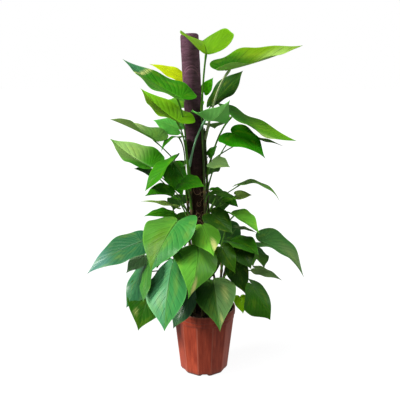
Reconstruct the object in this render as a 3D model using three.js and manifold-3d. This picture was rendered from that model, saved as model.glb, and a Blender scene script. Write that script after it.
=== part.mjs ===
// A climbing pothos in its nursery pot: leafy vines on a net-wrapped pole.
// Millimetres, +Z up, origin at the centre of the pot's base.
import * as THREE from 'three';
import { mergeVertices } from 'three/addons/utils/BufferGeometryUtils.js';
import Module from 'manifold-3d';

const wasm = await Module();
wasm.setup();

// ---- driving dimensions ----------------------------------------------------------------

const CLEARANCE = 0.4;

const POT = {
  height: 215,
  sides: 12,
  turn: 1.5,
  wall: 2.6,
  floor: 10,
  baseRadius: 75,
  chamfer: 8,
  footRadius: 80,
  shoulderRadius: 99.5,
  shoulder: 179,
  lip: 193,
  collarRadius: 100.5,
  rimRadius: 103,
  rimInside: 95.5,
  bevel: 2,
  tuck: 3,
};
const CHANNEL = { inner: 42, outer: 64, depth: 6 };
const DRAIN = { count: 6, radius: 5, ring: 53 };
const NOTCH = { count: 6, bottom: 28, top: 15, height: 7 };

const SOIL = { top: 197, crown: 5, crumb: 2.2, rings: [28, 55, 78], stemGap: 1.6 };

const POLE = {
  top: 1075,
  footX: 7.2,
  footY: 6,
  lean: 2.8,
  pipeRadius: 25,
  pipeWall: 3,
  netThickness: 2.2,
  netStart: 60,
  cap: 2.4,
  shoulder: 9,
};
const POLE_RADIUS = POLE.pipeRadius + CLEARANCE + POLE.netThickness;

const STEM_RADIUS = 4.2;
const STEM_SIDES = 6;
const STEM_FOOT = 120;
const STEM_STRAIGHT = 222;
const STEM_STEP = 75;
const PETIOLE_RADIUS = 2.4;
const PETIOLE_SIDES = 4;
const PETIOLE_STEPS = 4;
const BLADE_THICKNESS = 1;

// ---- small helpers ---------------------------------------------------------------------

const radians = THREE.MathUtils.degToRad;
const { lerp, smoothstep } = THREE.MathUtils;
const vector = (values) => new THREE.Vector3(...values);

function toSolid(geometry) {
  const bare = geometry.clone();
  bare.deleteAttribute('normal');
  bare.deleteAttribute('uv');
  const merged = mergeVertices(bare, 1e-4);
  return new wasm.Manifold(new wasm.Mesh({
    numProp: 3,
    vertProperties: new Float32Array(merged.attributes.position.array),
    triVerts: new Uint32Array(merged.index.array),
  }));
}

function toGeometry(solid) {
  const mesh = solid.getMesh();
  const geometry = new THREE.BufferGeometry();
  geometry.setAttribute('position', new THREE.BufferAttribute(mesh.vertProperties, 3));
  geometry.setIndex(new THREE.BufferAttribute(mesh.triVerts, 1));
  return geometry;
}

// A ring or disc turned about +Z from [radius, height] points; side 0 faces -Y.
function turned(points, sides, start = 0) {
  const profile = points.map(([r, z]) => new THREE.Vector2(r, z));
  return new THREE.LatheGeometry(profile, sides, start).rotateX(Math.PI / 2);
}

function rod(radius, bottom, top, sides, x = 0, y = 0) {
  return new THREE.CylinderGeometry(radius, radius, top - bottom, sides)
    .rotateX(Math.PI / 2)
    .translate(x, y, (top + bottom) / 2);
}

function tube(curve, radius, sides, steps) {
  const section = new THREE.Shape();
  for (let i = 0; i < sides; i += 1) {
    const angle = (2 * Math.PI * i) / sides;
    const method = i === 0 ? 'moveTo' : 'lineTo';
    section[method](radius * Math.cos(angle), radius * Math.sin(angle));
  }
  section.closePath();
  return new THREE.ExtrudeGeometry(section, { steps, extrudePath: curve });
}

function fused(solids) {
  return solids.reduce((sum, solid) => sum.add(solid));
}

// ---- pot and soil ----------------------------------------------------------------------

const FACET_START = radians(180 / POT.sides + POT.turn);

// Radius of the pot's corners at a height on the faceted body.
function bodyRadius(z) {
  return lerp(POT.footRadius, POT.shoulderRadius, (z - POT.chamfer) / (POT.shoulder - POT.chamfer));
}

function makePot() {
  const inside = (z) => bodyRadius(z) - POT.wall;
  const tuck = POT.shoulder + POT.tuck;
  const body = toSolid(turned([
    [0, 0],
    [POT.baseRadius, 0],
    [POT.footRadius, POT.chamfer],
    [POT.shoulderRadius, POT.shoulder],
    [bodyRadius(tuck), tuck],
    [inside(tuck), tuck],
    [inside(POT.floor), POT.floor],
    [0, POT.floor],
  ], POT.sides, FACET_START));
  const rim = toSolid(turned([
    [POT.rimInside, POT.shoulder],
    [POT.collarRadius - POT.bevel / 2, POT.shoulder],
    [POT.collarRadius, POT.lip],
    [POT.rimRadius, POT.lip + POT.bevel],
    [POT.rimRadius, POT.height - POT.bevel],
    [POT.rimRadius - POT.bevel, POT.height],
    [POT.rimInside + POT.bevel / 2, POT.height],
    [POT.rimInside, POT.shoulder],
  ], 3 * POT.sides));
  const channel = toSolid(turned([
    [CHANNEL.inner, -1],
    [CHANNEL.outer, -1],
    [CHANNEL.outer, CHANNEL.depth],
    [CHANNEL.inner, CHANNEL.depth],
    [CHANNEL.inner, -1],
  ], 2 * POT.sides));
  const holes = [];
  for (let i = 0; i < DRAIN.count; i += 1) {
    const angle = radians((360 * (i + 0.5)) / DRAIN.count);
    const x = DRAIN.ring * Math.sin(angle);
    const y = -DRAIN.ring * Math.cos(angle);
    holes.push(toSolid(rod(DRAIN.radius, 0, POT.floor + 1, 8, x, y)));
  }
  const gap = new THREE.Shape([
    new THREE.Vector2(-NOTCH.bottom / 2 - 1, -1),
    new THREE.Vector2(NOTCH.bottom / 2 + 1, -1),
    new THREE.Vector2(NOTCH.top / 2, NOTCH.height),
    new THREE.Vector2(-NOTCH.top / 2, NOTCH.height),
  ]);
  const reach = POT.footRadius - CHANNEL.outer + 4;
  for (let i = 0; i < NOTCH.count; i += 1) {
    const cutter = new THREE.ExtrudeGeometry(gap, { depth: reach, bevelEnabled: false })
      .rotateX(Math.PI / 2)
      .translate(0, -CHANNEL.outer + 2, 0)
      .rotateZ(radians((360 * i) / NOTCH.count + POT.turn));
    holes.push(toSolid(cutter));
  }
  return body.add(rim).subtract(channel).subtract(fused(holes));
}

function makeSoil(stems) {
  const side = (z) => bodyRadius(z) - POT.wall - CLEARANCE;
  const edge = SOIL.top;
  const [near, middle, far] = SOIL.rings;
  const profile = [
    [0, POT.floor + CLEARANCE],
    [side(POT.floor + CLEARANCE), POT.floor + CLEARANCE],
    [side(POT.shoulder - CLEARANCE), POT.shoulder - CLEARANCE],
    [POT.rimInside - CLEARANCE, POT.shoulder - CLEARANCE],
    [POT.rimInside - CLEARANCE, edge],
    [far, edge + 0.2 * SOIL.crown],
    [middle, edge + 0.6 * SOIL.crown],
    [near, edge + SOIL.crown],
    [0, edge + SOIL.crown],
  ];
  const geometry = mergeVertices(turned(profile, POT.sides, FACET_START), 1e-4);
  const position = geometry.attributes.position;
  for (let i = 0; i < position.count; i += 1) {
    const [x, y, z] = [position.getX(i), position.getY(i), position.getZ(i)];
    const onTop = z > edge + 0.5;
    const crumb = Math.sin(x * 0.31 + 1) * Math.cos(y * 0.23 + 2);
    position.setZ(i, onTop ? z + SOIL.crumb * crumb : z);
  }
  const holes = stems.map((stem) => {
    const foot = stem.at(STEM_FOOT);
    const bottom = STEM_FOOT - CLEARANCE;
    return toSolid(rod(STEM_RADIUS + SOIL.stemGap, bottom, POT.height, 8, foot.x, foot.y));
  });
  const well = rod(POLE_RADIUS + 2 * CLEARANCE, -POT.floor, 1.2 * POT.height, 16);
  const poleHole = toSolid(poleFrame(well));
  return toSolid(geometry).subtract(fused(holes)).subtract(poleHole);
}

// ---- pole ------------------------------------------------------------------------------

const LEAN = radians(POLE.lean);
const POLE_FOOT = POT.floor + CLEARANCE;
const POLE_LENGTH = (POLE.top - POLE_FOOT - POLE_RADIUS * Math.sin(LEAN)) / Math.cos(LEAN);

// Stands a shape made about its own +Z on the pot's floor, leaning towards -X.
function poleFrame(geometry) {
  const lift = POLE_FOOT + POLE_RADIUS * Math.sin(LEAN);
  return geometry.rotateY(-LEAN).translate(POLE.footX, POLE.footY, lift);
}

// The pole's centre at a height above the ground.
function poleAxis(z) {
  return new THREE.Vector3(POLE.footX - (z - POLE_FOOT) * Math.tan(LEAN), POLE.footY, z);
}

function makePipe() {
  const bore = POLE.pipeRadius - POLE.pipeWall;
  const top = POLE_LENGTH - POLE.cap - CLEARANCE;
  const ring = [[bore, 0], [POLE.pipeRadius, 0], [POLE.pipeRadius, top], [bore, top], [bore, 0]];
  return toSolid(poleFrame(turned(ring, 20)));
}

function makeNet() {
  const inner = POLE.pipeRadius + CLEARANCE;
  const under = POLE_LENGTH - POLE.cap;
  return toSolid(poleFrame(turned([
    [inner, POLE.netStart],
    [POLE_RADIUS, POLE.netStart],
    [POLE_RADIUS, POLE_LENGTH - POLE.shoulder],
    [POLE_RADIUS - 0.3 * POLE.shoulder, POLE_LENGTH - 0.3 * POLE.shoulder],
    [POLE_RADIUS - POLE.shoulder, POLE_LENGTH],
    [0, POLE_LENGTH],
    [0, under],
    [inner, under],
    [inner, POLE.netStart],
  ], 24)));
}

// ---- leaf blades -----------------------------------------------------------------------

// One half of the heart-shaped outline for a blade of length 1 with its petiole at [0, 0]:
// cubic curves from the notch round the lobe to the drawn-out tip.
const HALF_OUTLINE = [
  [[0, 0], [0.02, -0.13], [0.2, -0.21], [0.31, -0.06]],
  [[0.31, -0.06], [0.42, 0.09], [0.4, 0.34], [0.27, 0.57]],
  [[0.27, 0.57], [0.18, 0.73], [0.05, 0.84], [0, 1]],
];
const OUTLINE_WIDTH = 0.77;
const VEIN_START = 0.12;

function outlinePoints(steps) {
  const points = HALF_OUTLINE.flatMap((knots, i) => {
    const curve = new THREE.CubicBezierCurve(...knots.map(([x, y]) => new THREE.Vector2(x, y)));
    return curve.getPoints(steps[i]).slice(0, -1);
  });
  return [...points, new THREE.Vector2(0, 1)];
}

// The blade's flat net: rows run from the midrib along each vein to the margin.
function bladeNet(steps, parts) {
  const margin = outlinePoints(steps);
  const flat = [];
  const faces = [];
  const index = new Map();
  const vertex = (x, y) => {
    const key = `${x.toFixed(5)},${y.toFixed(5)}`;
    if (!index.has(key)) {
      index.set(key, flat.length);
      flat.push([x, y]);
    }
    return index.get(key);
  };
  for (const side of [1, -1]) {
    const rows = margin.map(({ x, y }) => {
      const root = Math.max(0, (y - VEIN_START) / (1 - VEIN_START));
      return parts.map((part) => vertex(side * x * part, lerp(root, y, part)));
    });
    for (let i = 0; i + 1 < rows.length; i += 1) {
      for (let j = 0; j + 1 < rows[i].length; j += 1) {
        const [a, b, c, d] = [rows[i][j], rows[i][j + 1], rows[i + 1][j + 1], rows[i + 1][j]];
        const pair = [[a, b, c], [a, c, d]].filter((face) => new Set(face).size === 3);
        faces.push(...pair.map((face) => (side > 0 ? face : face.toReversed())));
      }
    }
  }
  const right = margin.map(({ x, y }) => vertex(x, y));
  const left = margin.slice(1, -1).map(({ x, y }) => vertex(-x, y));
  return { flat, faces, rim: [...right, ...left.toReversed()] };
}

const LARGE_NET = bladeNet([2, 3, 2], [0, 0.55, 1]);
const SMALL_NET = bladeNet([2, 2, 1], [0, 1]);
const SMALL_BLADE = 105;

// Maps flat blade coordinates to space: the midrib is an arc from joint to tip, the upper
// side looks towards `face`, each half is folded up by `fold` degrees (right, left), the
// margins droop by `cup` and roll by `wave`, and the blade turns by `twist` along itself.
function bladeShape({ joint, tip, face, width, bend, twist, fold, cup, wave, phase }) {
  const start = vector(joint);
  const chord = vector(tip).sub(start);
  const along = chord.clone().normalize();
  const up = vector(face).projectOnPlane(along).normalize();
  const side = along.clone().cross(up);
  const turn = radians(bend);
  const length = (chord.length() * turn) / 2 / Math.sin(turn / 2);
  const radius = length / turn;
  return (x, y) => {
    const angle = turn * (0.5 - y);
    const run = radius * (Math.sin(turn / 2) - Math.sin(angle));
    const rise = radius * (Math.cos(angle) - Math.cos(turn / 2));
    const roll = radians(twist * (y - 0.5));
    const normal = along.clone().multiplyScalar(-Math.sin(angle)).addScaledVector(up, Math.cos(angle));
    const across = (x * length * width) / OUTLINE_WIDTH;
    const tilt = radians(x > 0 ? fold[0] : fold[1]);
    const edge = Math.abs(x) / (OUTLINE_WIDTH / 2);
    const ripple = wave * length * edge * edge * Math.sin(13 * y + phase + (x > 0 ? 0 : 2));
    const height = Math.abs(across) * (Math.sin(tilt) - cup * edge) + ripple;
    return start.clone()
      .addScaledVector(along, run)
      .addScaledVector(up, rise)
      .addScaledVector(side, across * Math.cos(tilt) * Math.cos(roll) - height * Math.sin(roll))
      .addScaledVector(normal, across * Math.cos(tilt) * Math.sin(roll) + height * Math.cos(roll));
  };
}

function makeBlade({ joint, tip }, place) {
  const small = vector(joint).distanceTo(vector(tip)) < SMALL_BLADE;
  const { flat, faces, rim } = small ? SMALL_NET : LARGE_NET;
  const sheet = new THREE.BufferGeometry().setFromPoints(flat.map(([x, y]) => place(x, y)));
  sheet.setIndex(faces.flat());
  sheet.computeVertexNormals();
  const { position, normal } = sheet.attributes;
  const count = position.count;
  const points = [1, -1].flatMap((face) => flat.map((_, i) => {
    const offset = new THREE.Vector3().fromBufferAttribute(normal, i);
    return new THREE.Vector3().fromBufferAttribute(position, i)
      .addScaledVector(offset, (face * BLADE_THICKNESS) / 2);
  }));
  const under = faces.map(([a, b, c]) => [c + count, b + count, a + count]);
  const wall = rim.flatMap((a, i) => {
    const b = rim[(i + 1) % rim.length];
    return [[a, a + count, b + count], [a, b + count, b]];
  });
  const geometry = new THREE.BufferGeometry().setFromPoints(points);
  geometry.setIndex([...faces, ...under, ...wall].flat());
  return geometry;
}

// ---- vines -----------------------------------------------------------------------------

// A stem rooted at `root` = [degrees round the pole, mm from it] that reaches `head` at its
// top; 0 degrees is +X and -90 degrees is -Y.
function makeStem({ root, head, top }) {
  const at = (z) => {
    const rise = smoothstep(z, STEM_STRAIGHT, Math.min(top, STEM_STRAIGHT + 160));
    const climb = smoothstep(z, STEM_STRAIGHT, top);
    const angle = radians(lerp(root[0], head[0], climb));
    const reach = lerp(root[1], head[1], rise);
    const axis = poleAxis(z < STEM_STRAIGHT ? STEM_STRAIGHT : z);
    return new THREE.Vector3(axis.x + reach * Math.cos(angle), axis.y + reach * Math.sin(angle), z);
  };
  const points = [at(STEM_FOOT), at(STEM_STRAIGHT - 15), at(STEM_STRAIGHT)];
  const spans = Math.round((top - STEM_STRAIGHT) / STEM_STEP);
  for (let i = 1; i <= spans; i += 1) {
    points.push(at(lerp(STEM_STRAIGHT, top, i / spans)));
  }
  return { at, curve: new THREE.CatmullRomCurve3(points, false, 'catmullrom', 0.3), steps: spans + 3 };
}

// The leaf stalk leaves the stem at height `from`, rises by `rise` of its span and comes to
// the blade from below by `drop` of its span.
function petioleCurve(stem, { from, rise, drop }, place) {
  const foot = stem.at(from);
  const end = place(0, 0.07);
  const span = end.distanceTo(foot);
  const out = new THREE.Vector3(end.x - foot.x, end.y - foot.y, 0).normalize();
  const lift = new THREE.Vector3(0, 0, span);
  const first = foot.clone().addScaledVector(out, 0.12 * span).addScaledVector(lift, rise);
  const last = end.clone().addScaledVector(out, -0.25 * span).addScaledVector(lift, -drop);
  return new THREE.CubicBezierCurve3(foot, first, last, end);
}

const LEAF = {
  width: 0.7, bend: 20, twist: 0, fold: [8, 8], cup: 0.1, wave: 0.025, rise: 0.35, drop: 0.2,
  stalk: PETIOLE_RADIUS,
};

// from: height of the stalk on the stem; joint: where it meets the blade; tip: the blade's tip;
// face: where the upper side looks; more: what differs from LEAF.
function leaf(from, joint, tip, face, more = {}) {
  const phase = (joint[0] + 2 * joint[1] + 3 * joint[2]) * 0.1;
  return { ...LEAF, from, joint, tip, face, phase, ...more };
}

const CLIMB = POLE_RADIUS + STEM_RADIUS + 1;

const VINES = [
  {
    name: 'vine_front_left',
    root: [-125, 50],
    head: [-128, CLIMB],
    top: 700,
    leaves: [
      leaf(640, [-70, -110, 890], [-240, -30, 1000], [0.8, -0.6, 0.3],
        { bend: -15, fold: [10, 25], stalk: 2.8 }),
      leaf(600, [-75, -90, 820], [-200, 65, 915], [0.3, -0.8, 0.5],
        { width: 0.55, stalk: 2.8, bend: -20, twist: 10, fold: [10, 40], cup: 0.2 }),
      leaf(680, [0, -85, 830], [65, -250, 890], [0, 0.7, 0.7],
        { width: 0.55, bend: -60, fold: [20, 15], stalk: 3.6 }),
      leaf(560, [-85, -105, 715], [-175, -110, 620], [-0.5, -0.6, 0.6],
        { width: 0.85, twist: 45, fold: [0, 30] }),
      leaf(500, [-95, -75, 600], [-170, -180, 620], [-0.3, -0.8, 0.5],
        { twist: -45, fold: [10, 40], cup: 0.2 }),
      leaf(540, [-66, -85, 642], [1, -140, 640], [-0.1, -0.6, 0.8], { width: 0.8 }),
      leaf(420, [-80, -140, 535], [-150, -255, 420], [-0.3, -0.8, 0.4],
        { width: 0.9, bend: 40, twist: 30, cup: 0 }),
    ],
  },
  {
    name: 'vine_front_right',
    root: [-60, 48],
    head: [-38, CLIMB],
    top: 860,
    leaves: [
      leaf(850, [5, -130, 1010], [-5, 5, 1055], [0.2, -0.7, 0.7],
        { width: 1.25, stalk: 3.2, bend: 15, twist: 20, fold: [50, 20], cup: 0 }),
      leaf(600, [25, -60, 700], [75, -115, 692], [0, -0.7, 0.7], { width: 0.75, stalk: 1.5 }),
      leaf(560, [20, -45, 615], [62, -80, 608], [0.2, -0.4, 0.9], { width: 0.5, bend: 40, stalk: 1.5 }),
      leaf(420, [22, -55, 538], [86, -115, 490], [0.1, -0.75, 0.65], { width: 0.8 }),
      leaf(380, [-5, -125, 520], [25, -250, 465], [-0.2, -0.3, 0.9],
        { width: 0.65, fold: [-10, -25], cup: 0.2 }),
      leaf(470, [55, -50, 577], [98, -85, 591], [0, -0.4, 0.9], { width: 0.6, stalk: 1.5 }),
      leaf(500, [20, -85, 610], [92, -115, 592], [0.1, -0.3, 0.9], { width: 0.45, bend: 60, stalk: 1.5 }),
    ],
  },
  {
    name: 'vine_right',
    root: [0, 52],
    head: [14, CLIMB],
    top: 800,
    leaves: [
      leaf(760, [60, -60, 968], [290, -15, 1040], [-0.9, -0.3, 0.3],
        { width: 0.7, stalk: 3.8, bend: -10, twist: -15, fold: [20, 30] }),
      leaf(650, [70, -55, 845], [280, -35, 760], [0.8, -0.1, 0.6],
        { width: 1.05, stalk: 3.4, bend: -20, twist: -10, fold: [5, 5], cup: 0 }),
      leaf(600, [80, -95, 790], [170, -170, 725], [0.3, -0.4, 0.9],
        { width: 0.95, bend: 25, twist: 30, cup: 0.2 }),
      leaf(520, [107, -40, 629], [228, -70, 582], [0.3, -0.1, 0.93], { width: 0.4, bend: 85 }),
      leaf(690, [15, -12, 714], [40, -25, 745], [-0.5, -0.8, 0.3], { stalk: 1.5 }),
      leaf(500, [100, -10, 588], [150, -20, 590], [0, -0.9, 0.4], { width: 0.6, stalk: 1.5 }),
      leaf(470, [69, -25, 585], [106, -45, 556], [0.1, -0.8, 0.6], { stalk: 1.5 }),
    ],
  },
  {
    name: 'vine_left',
    root: [180, 52],
    head: [172, CLIMB],
    top: 640,
    leaves: [
      leaf(620, [-145, -70, 765], [-285, -25, 825], [0.4, -0.2, 0.9],
        { width: 0.9, bend: 10, twist: -30, fold: [15, 45], cup: 0.2 }),
      leaf(520, [-165, -35, 680], [-305, 85, 755], [0.1, -0.6, 0.8],
        { bend: -20, fold: [25, 40], cup: 0.2 }),
      leaf(560, [-75, -20, 771], [-127, -90, 734], [-0.3, -0.2, 0.9], { width: 0.35, bend: 70 }),
      leaf(500, [-158, -5, 655], [-215, -40, 676], [-0.2, -0.5, 0.8], { width: 0.8 }),
      leaf(600, [-100, 5, 676], [-66, -45, 588], [-0.1, -0.8, 0.6]),
      leaf(420, [-95, -50, 542], [-180, -115, 545], [0, -0.5, 0.9],
        { width: 0.5, bend: 35, fold: [-10, -10], cup: 0 }),
    ],
  },
  {
    name: 'vine_back_left',
    root: [125, 50],
    head: [125, CLIMB],
    top: 820,
    leaves: [
      leaf(800, [-58, 47, 940], [-170, 60, 989], [0.3, -0.6, 0.75], { width: 0.5 }),
      leaf(700, [-80, 20, 790], [-162, 60, 816], [0.2, -0.7, 0.6]),
      leaf(740, [-50, 90, 860], [-90, 250, 880], [-0.1, 0.2, 0.95]),
      leaf(560, [-70, 100, 680], [-130, 240, 610], [-0.3, 0.5, 0.8]),
      leaf(480, [-60, 110, 560], [-110, 230, 480], [-0.2, 0.6, 0.7]),
    ],
  },
  {
    name: 'vine_back_right',
    root: [60, 50],
    head: [62, CLIMB],
    top: 840,
    leaves: [
      leaf(780, [30, 60, 870], [125, 110, 970], [-0.4, -0.9, 0.2],
        { width: 0.65, bend: 10, twist: -65, fold: [25, 0], cup: 0.2 }),
      leaf(830, [0, 28, 905], [28, 32, 948], [-0.3, -0.9, 0.3], { width: 0.75, stalk: 1.5 }),
      leaf(640, [128, 30, 766], [247, 20, 738], [0.2, -0.2, 0.95], { width: 0.35 }),
      leaf(700, [20, 120, 800], [40, 280, 770], [0, 0.4, 0.9]),
      leaf(560, [0, 110, 660], [-10, 260, 590], [0.1, 0.5, 0.8]),
      leaf(470, [40, 120, 560], [70, 240, 470], [0.1, 0.6, 0.7]),
    ],
  },
  {
    name: 'shoot_front',
    root: [-92, 62],
    head: [-92, 74],
    top: 400,
    leaves: [
      leaf(390, [-20, -150, 463], [-45, -285, 355], [0.1, -1, -0.1],
        { width: 0.75, bend: 70, twist: 30, fold: [-10, -20] }),
      leaf(340, [-95, -138, 405], [-115, -235, 235], [-0.5, -0.8, 0.3],
        { width: 1, twist: 60, fold: [0, 15], cup: 0 }),
      leaf(290, [-40, -100, 310], [-95, -145, 200], [-0.2, -0.8, 0.5],
        { width: 0.85, bend: 5, twist: 70, fold: [-20, 30], cup: 0.2 }),
      leaf(330, [25, -100, 340], [45, -225, 230], [0, -0.7, 0.7],
        { width: 0.75, bend: 75, fold: [-20, -5] }),
    ],
  },
  {
    name: 'shoot_left',
    root: [-155, 64],
    head: [-160, 90],
    top: 400,
    leaves: [
      leaf(390, [-193, -60, 450], [-361, -90, 356], [-0.25, -0.5, 0.8], { width: 0.6, bend: 40 }),
      leaf(370, [-190, -25, 395], [-240, -95, 360], [-0.3, -0.6, 0.8], { fold: [0, -20], cup: 0 }),
      leaf(330, [-190, -48, 365], [-250, -46, 225], [-0.6, -0.8, -0.1],
        { width: 0.85, bend: -15, twist: 70, fold: [-20, 0] }),
      leaf(370, [-170, -110, 400], [-180, -190, 305], [-0.5, -0.3, 0.8],
        { width: 0.55, bend: -15, twist: 70, fold: [0, 20] }),
      leaf(280, [-168, -35, 295], [-210, -75, 160], [-0.3, -0.9, 0.35], { width: 1 }),
      leaf(400, [-88, -12, 552], [-196, -55, 578], [0, -0.3, 0.95], { width: 0.25 }),
    ],
  },
  {
    name: 'shoot_right',
    root: [-38, 62],
    head: [-38, 84],
    top: 440,
    leaves: [
      leaf(300, [95, -62, 375], [128, -88, 290], [0.3, -0.85, 0.4], { width: 0.8 }),
      leaf(430, [85, -75, 540], [160, -160, 505], [-0.1, -0.1, 1],
        { width: 0.75, twist: -10, fold: [35, 15], cup: 0 }),
      leaf(400, [85, -60, 450], [165, -120, 425], [0, 0.1, 1],
        { width: 1, bend: 35, twist: -30, fold: [5, 35] }),
      leaf(370, [111, -80, 436], [141, -125, 384], [0.1, -0.85, 0.5], { width: 1 }),
      leaf(350, [55, -95, 440], [93, -135, 373], [0.1, -0.85, 0.5]),
      leaf(260, [114, -60, 268], [122, -90, 224], [0.2, -0.9, 0.3], { width: 0.9, stalk: 1.5 }),
    ],
  },
  {
    name: 'shoot_far_right',
    root: [20, 64],
    head: [15, 90],
    top: 400,
    leaves: [
      leaf(270, [150, -60, 310], [215, -40, 180], [0.3, -0.7, 0.6],
        { width: 1.05, twist: -55, fold: [5, -20], cup: 0.2 }),
      leaf(370, [180, -35, 440], [305, -100, 350], [1, -0.3, 0.1],
        { width: 0.8, bend: 50, twist: 25, fold: [5, 35], cup: 0 }),
      leaf(400, [101, -20, 487], [164, -50, 476], [0.1, -0.2, 0.95], { width: 0.35, stalk: 1.5 }),
      leaf(350, [146, -20, 421], [205, -40, 394], [0.2, 0.5, 0.7], { width: 0.6, stalk: 1.5 }),
      leaf(310, [165, -20, 350], [245, -65, 325], [0, -0.3, 1],
        { width: 0.4, bend: 30, twist: 15, fold: [-15, 0], cup: 0.2 }),
      leaf(300, [150, 60, 400], [215, 150, 290], [0.5, 0.5, 0.7]),
    ],
  },
  {
    name: 'shoot_back',
    root: [88, 60],
    head: [88, 84],
    top: 400,
    leaves: [
      leaf(380, [-40, 150, 480], [-70, 240, 340], [-0.2, 0.85, 0.45], { width: 0.75 }),
      leaf(360, [60, 150, 450], [100, 235, 310], [0.2, 0.85, 0.4], { width: 0.75 }),
      leaf(300, [10, 140, 350], [10, 200, 205], [0, 0.92, 0.35]),
      leaf(330, [120, 110, 400], [180, 190, 280], [0.5, 0.7, 0.45]),
    ],
  },
  {
    name: 'shoot_back_left',
    root: [145, 64],
    head: [150, 90],
    top: 400,
    leaves: [
      leaf(380, [-150, 60, 440], [-260, 130, 330], [-0.5, 0.4, 0.75]),
      leaf(340, [-120, 120, 400], [-170, 200, 270], [-0.4, 0.75, 0.45], { width: 0.75 }),
      leaf(270, [-130, 60, 300], [-190, 100, 190], [-0.7, 0.5, 0.4]),
    ],
  },
];

function makeVine(stem, leaves) {
  const parts = [toSolid(tube(stem.curve, STEM_RADIUS, STEM_SIDES, stem.steps))];
  for (const spec of leaves) {
    const place = bladeShape(spec);
    const stalk = petioleCurve(stem, spec, place);
    parts.push(toSolid(tube(stalk, spec.stalk, PETIOLE_SIDES, PETIOLE_STEPS)));
    parts.push(toSolid(makeBlade(spec, place)));
  }
  return fused(parts);
}

// ---- the whole plant -------------------------------------------------------------------

const FINISH = {
  clay: { color: 0xa8503c, roughness: 0.45 },
  soil: { color: 0x1c1512, roughness: 1 },
  pipe: { color: 0x8d8d88, roughness: 0.5 },
  net: { color: 0x3a2a30, roughness: 0.85 },
  leaf: { color: 0x3f8f24, roughness: 0.35 },
};

function mesh(name, solid, finish) {
  const material = new THREE.MeshStandardMaterial({ metalness: 0, ...FINISH[finish] });
  const made = new THREE.Mesh(toGeometry(solid), material);
  made.name = name;
  return made;
}

const plant = new THREE.Group();
const stems = VINES.map(makeStem);
plant.add(mesh('pot', makePot(), 'clay'));
plant.add(mesh('soil', makeSoil(stems), 'soil'));
plant.add(mesh('pole_pipe', makePipe(), 'pipe'));
plant.add(mesh('pole_net', makeNet(), 'net'));
VINES.forEach(({ name, leaves }, i) => {
  plant.add(mesh(name, makeVine(stems[i], leaves), 'leaf'));
});

export default plant;
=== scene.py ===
"""Looks for a climbing pothos in its nursery pot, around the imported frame. Metres, +Z up."""
import random
from math import atan2, cos, hypot, pi, radians, sin, sqrt, tan, tau
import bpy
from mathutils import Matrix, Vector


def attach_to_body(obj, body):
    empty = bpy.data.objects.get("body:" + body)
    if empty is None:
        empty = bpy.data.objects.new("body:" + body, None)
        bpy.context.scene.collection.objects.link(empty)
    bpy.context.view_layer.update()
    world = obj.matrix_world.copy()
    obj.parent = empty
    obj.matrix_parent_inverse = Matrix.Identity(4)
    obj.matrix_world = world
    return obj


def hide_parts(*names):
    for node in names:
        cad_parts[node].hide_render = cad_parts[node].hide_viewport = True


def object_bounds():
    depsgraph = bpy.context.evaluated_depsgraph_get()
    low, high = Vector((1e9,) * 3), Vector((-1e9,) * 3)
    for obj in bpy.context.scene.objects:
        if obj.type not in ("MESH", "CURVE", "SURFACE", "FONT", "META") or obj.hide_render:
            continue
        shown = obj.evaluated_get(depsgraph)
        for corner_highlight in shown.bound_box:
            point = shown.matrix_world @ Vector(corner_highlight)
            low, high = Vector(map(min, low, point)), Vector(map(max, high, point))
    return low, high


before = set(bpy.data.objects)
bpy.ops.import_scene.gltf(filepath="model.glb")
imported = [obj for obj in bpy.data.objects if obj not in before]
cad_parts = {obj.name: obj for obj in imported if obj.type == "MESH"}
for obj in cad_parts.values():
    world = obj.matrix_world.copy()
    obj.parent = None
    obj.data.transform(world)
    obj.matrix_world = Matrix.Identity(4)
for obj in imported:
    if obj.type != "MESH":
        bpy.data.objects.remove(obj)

from types import SimpleNamespace

import bpy
import numpy as np
from mathutils import Vector, noise

CAD_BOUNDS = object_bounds()
MM = 0.001

# ---- sizes ----

POT_HEIGHT = 0.215
POT_SIDES = 12
POT_TURN = radians(1.5)
POT_WALL = 0.0026
POT_FLOOR = 0.010
BASE_RADIUS = 0.075
FOOT = (0.080, 0.008)
SHOULDER = (0.0995, 0.179)
COLLAR = (0.1005, 0.193)
RIM_RADIUS = 0.103
RIM_INSIDE = 0.0955
CHANNEL = (0.042, 0.064, 0.006)
HOLE_COUNT = 6
DRAIN_RADIUS = 0.005
DRAIN_RING = 0.053
NOTCH_BOTTOM = 0.028
NOTCH_TOP = 0.015
NOTCH_HEIGHT = 0.007
SOIL_TOP = 0.197
SOIL_CROWN = 0.005

POLE_FOOT = Vector((0.0072, 0.006, 0.0104))
POLE_TOP = 1.075
POLE_LEAN = radians(2.8)
PIPE_RADIUS = 0.025
POLE_RADIUS = 0.0276
POLE_LENGTH = (POLE_TOP - POLE_FOOT.z - POLE_RADIUS * sin(POLE_LEAN)) / cos(POLE_LEAN)
NET_START = 0.060
NET_SHOULDER = 0.009
NET_CAP = 0.0024
NET_EASE = 0.0004

STEM_RADIUS = 0.0042
STEM_FOOT = 0.120
STEM_STRAIGHT = 0.222
# The leaves and stems below are listed in millimetres, so these two are too: the radius of a leaf
# stalk, and how far a climbing stem runs from the middle of the pole.
PETIOLE_RADIUS = 2.4
CLIMB = POLE_RADIUS / MM + STEM_RADIUS / MM + 1


# ---- colours ----

def rgb(*screen):
    """A linear colour from screen values of 0 to 255."""
    return np.array([(v / 255 / 12.92) if v < 10 else ((v / 255 + 0.055) / 1.055) ** 2.4 for v in screen])


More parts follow.
